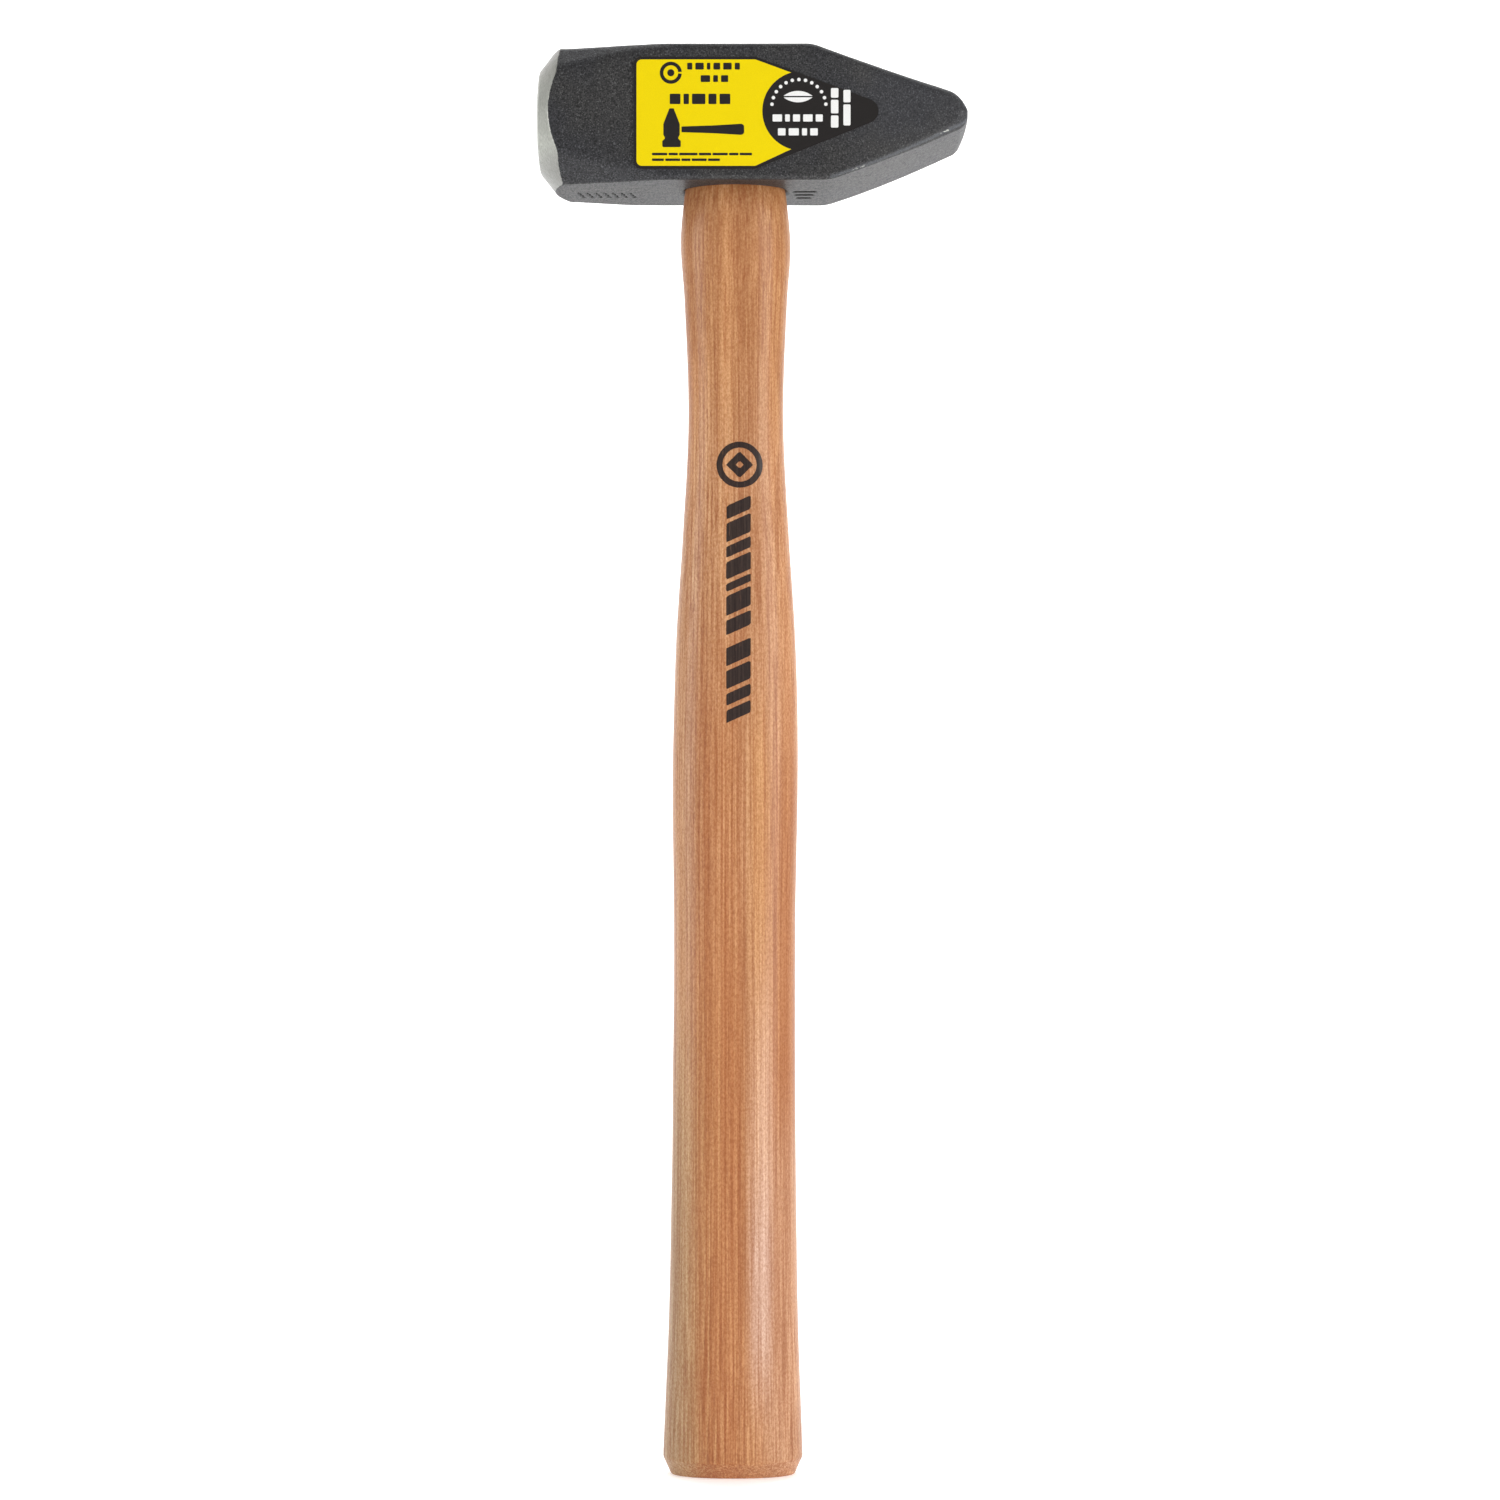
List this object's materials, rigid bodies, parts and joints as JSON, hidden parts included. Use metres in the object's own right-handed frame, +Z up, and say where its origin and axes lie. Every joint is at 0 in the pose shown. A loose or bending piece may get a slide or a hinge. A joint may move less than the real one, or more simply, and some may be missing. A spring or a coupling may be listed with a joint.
{
  "type": "blacksmith hammer",
  "caption": "Cross-peen blacksmith hammer: forged steel head with a ground, crowned striking face and a transverse peen, wedged onto an oval hardwood handle.",
  "frame": {"origin": "centre of the flat end of the handle, on which the hammer stands", "axes": "+Z up the handle to the head, +X towards the peen, -Y out of the labelled cheek"},
  "size_m": [0.1232, 0.0416, 0.4064],
  "materials": {
    "forged_steel": "satin dark grey paint on forged steel, bare ground steel at the striking face",
    "hickory": "satin clear lacquer",
    "wedge_wood": "bare",
    "wedge_steel": "rough bare steel",
    "label_film": "satin print in yellow and black"
  },
  "bodies": {
    "root": {"head": "forged_steel", "handle": "hickory", "wood_wedge": "wedge_wood", "steel_wedge_face": "wedge_steel", "steel_wedge_peen": "wedge_steel", "label": "label_film"}
  },
  "joints": []
}
